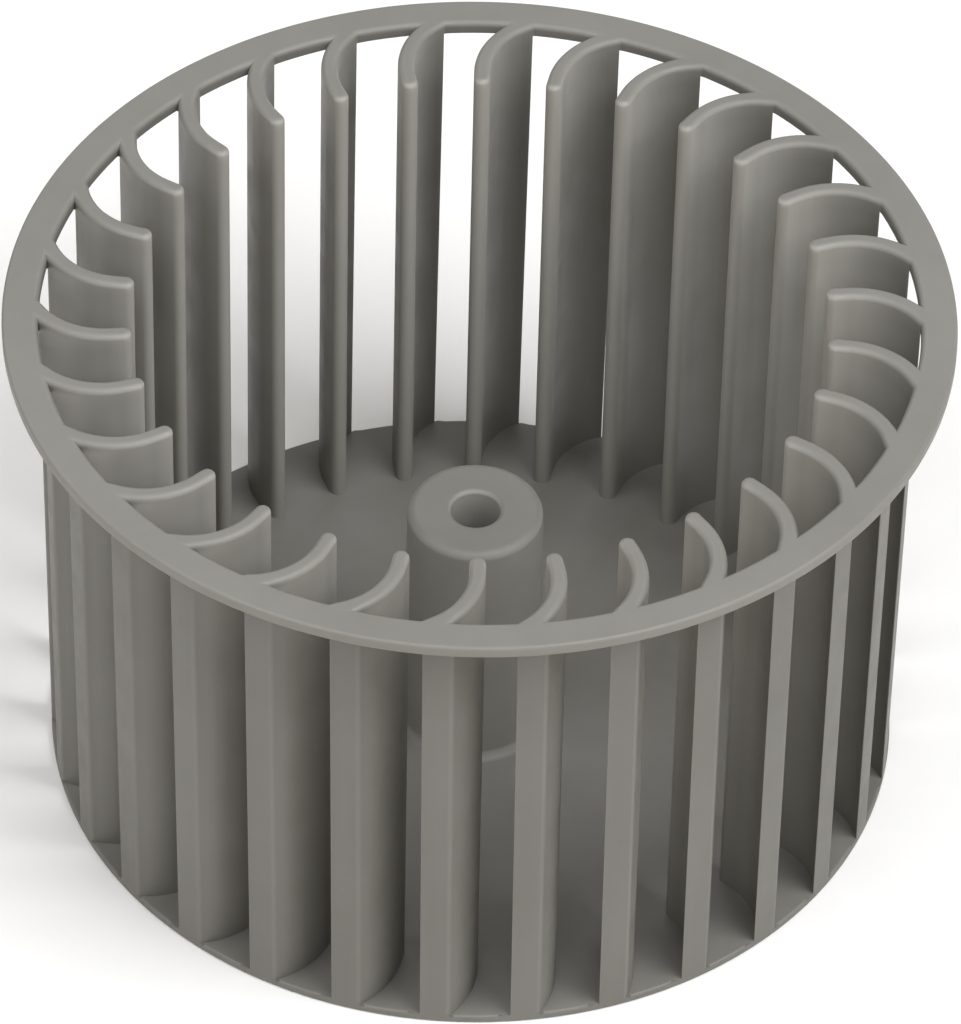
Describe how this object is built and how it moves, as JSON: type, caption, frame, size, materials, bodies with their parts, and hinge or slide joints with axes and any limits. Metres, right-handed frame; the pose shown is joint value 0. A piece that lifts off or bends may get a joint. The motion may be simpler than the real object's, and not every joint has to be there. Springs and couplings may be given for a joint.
{
  "type": "fan impeller",
  "caption": "Centrifugal fan wheel: a cage of forward-curved blades between a flat overhanging inlet ring and a solid back plate, with a tall central hub bored for a motor shaft.",
  "frame": {"origin": "centre of the bore on the back plate's flat underside", "axes": "+Z along the shaft's axis, from the back plate to the open inlet; +Y through the inner nose of one blade"},
  "size_m": [0.15, 0.15, 0.09],
  "materials": {
    "moulded_plastic": "warm grey moulded thermoplastic with a fine satin grain"
  },
  "bodies": {
    "root": {"impeller": "moulded_plastic"}
  },
  "joints": []
}
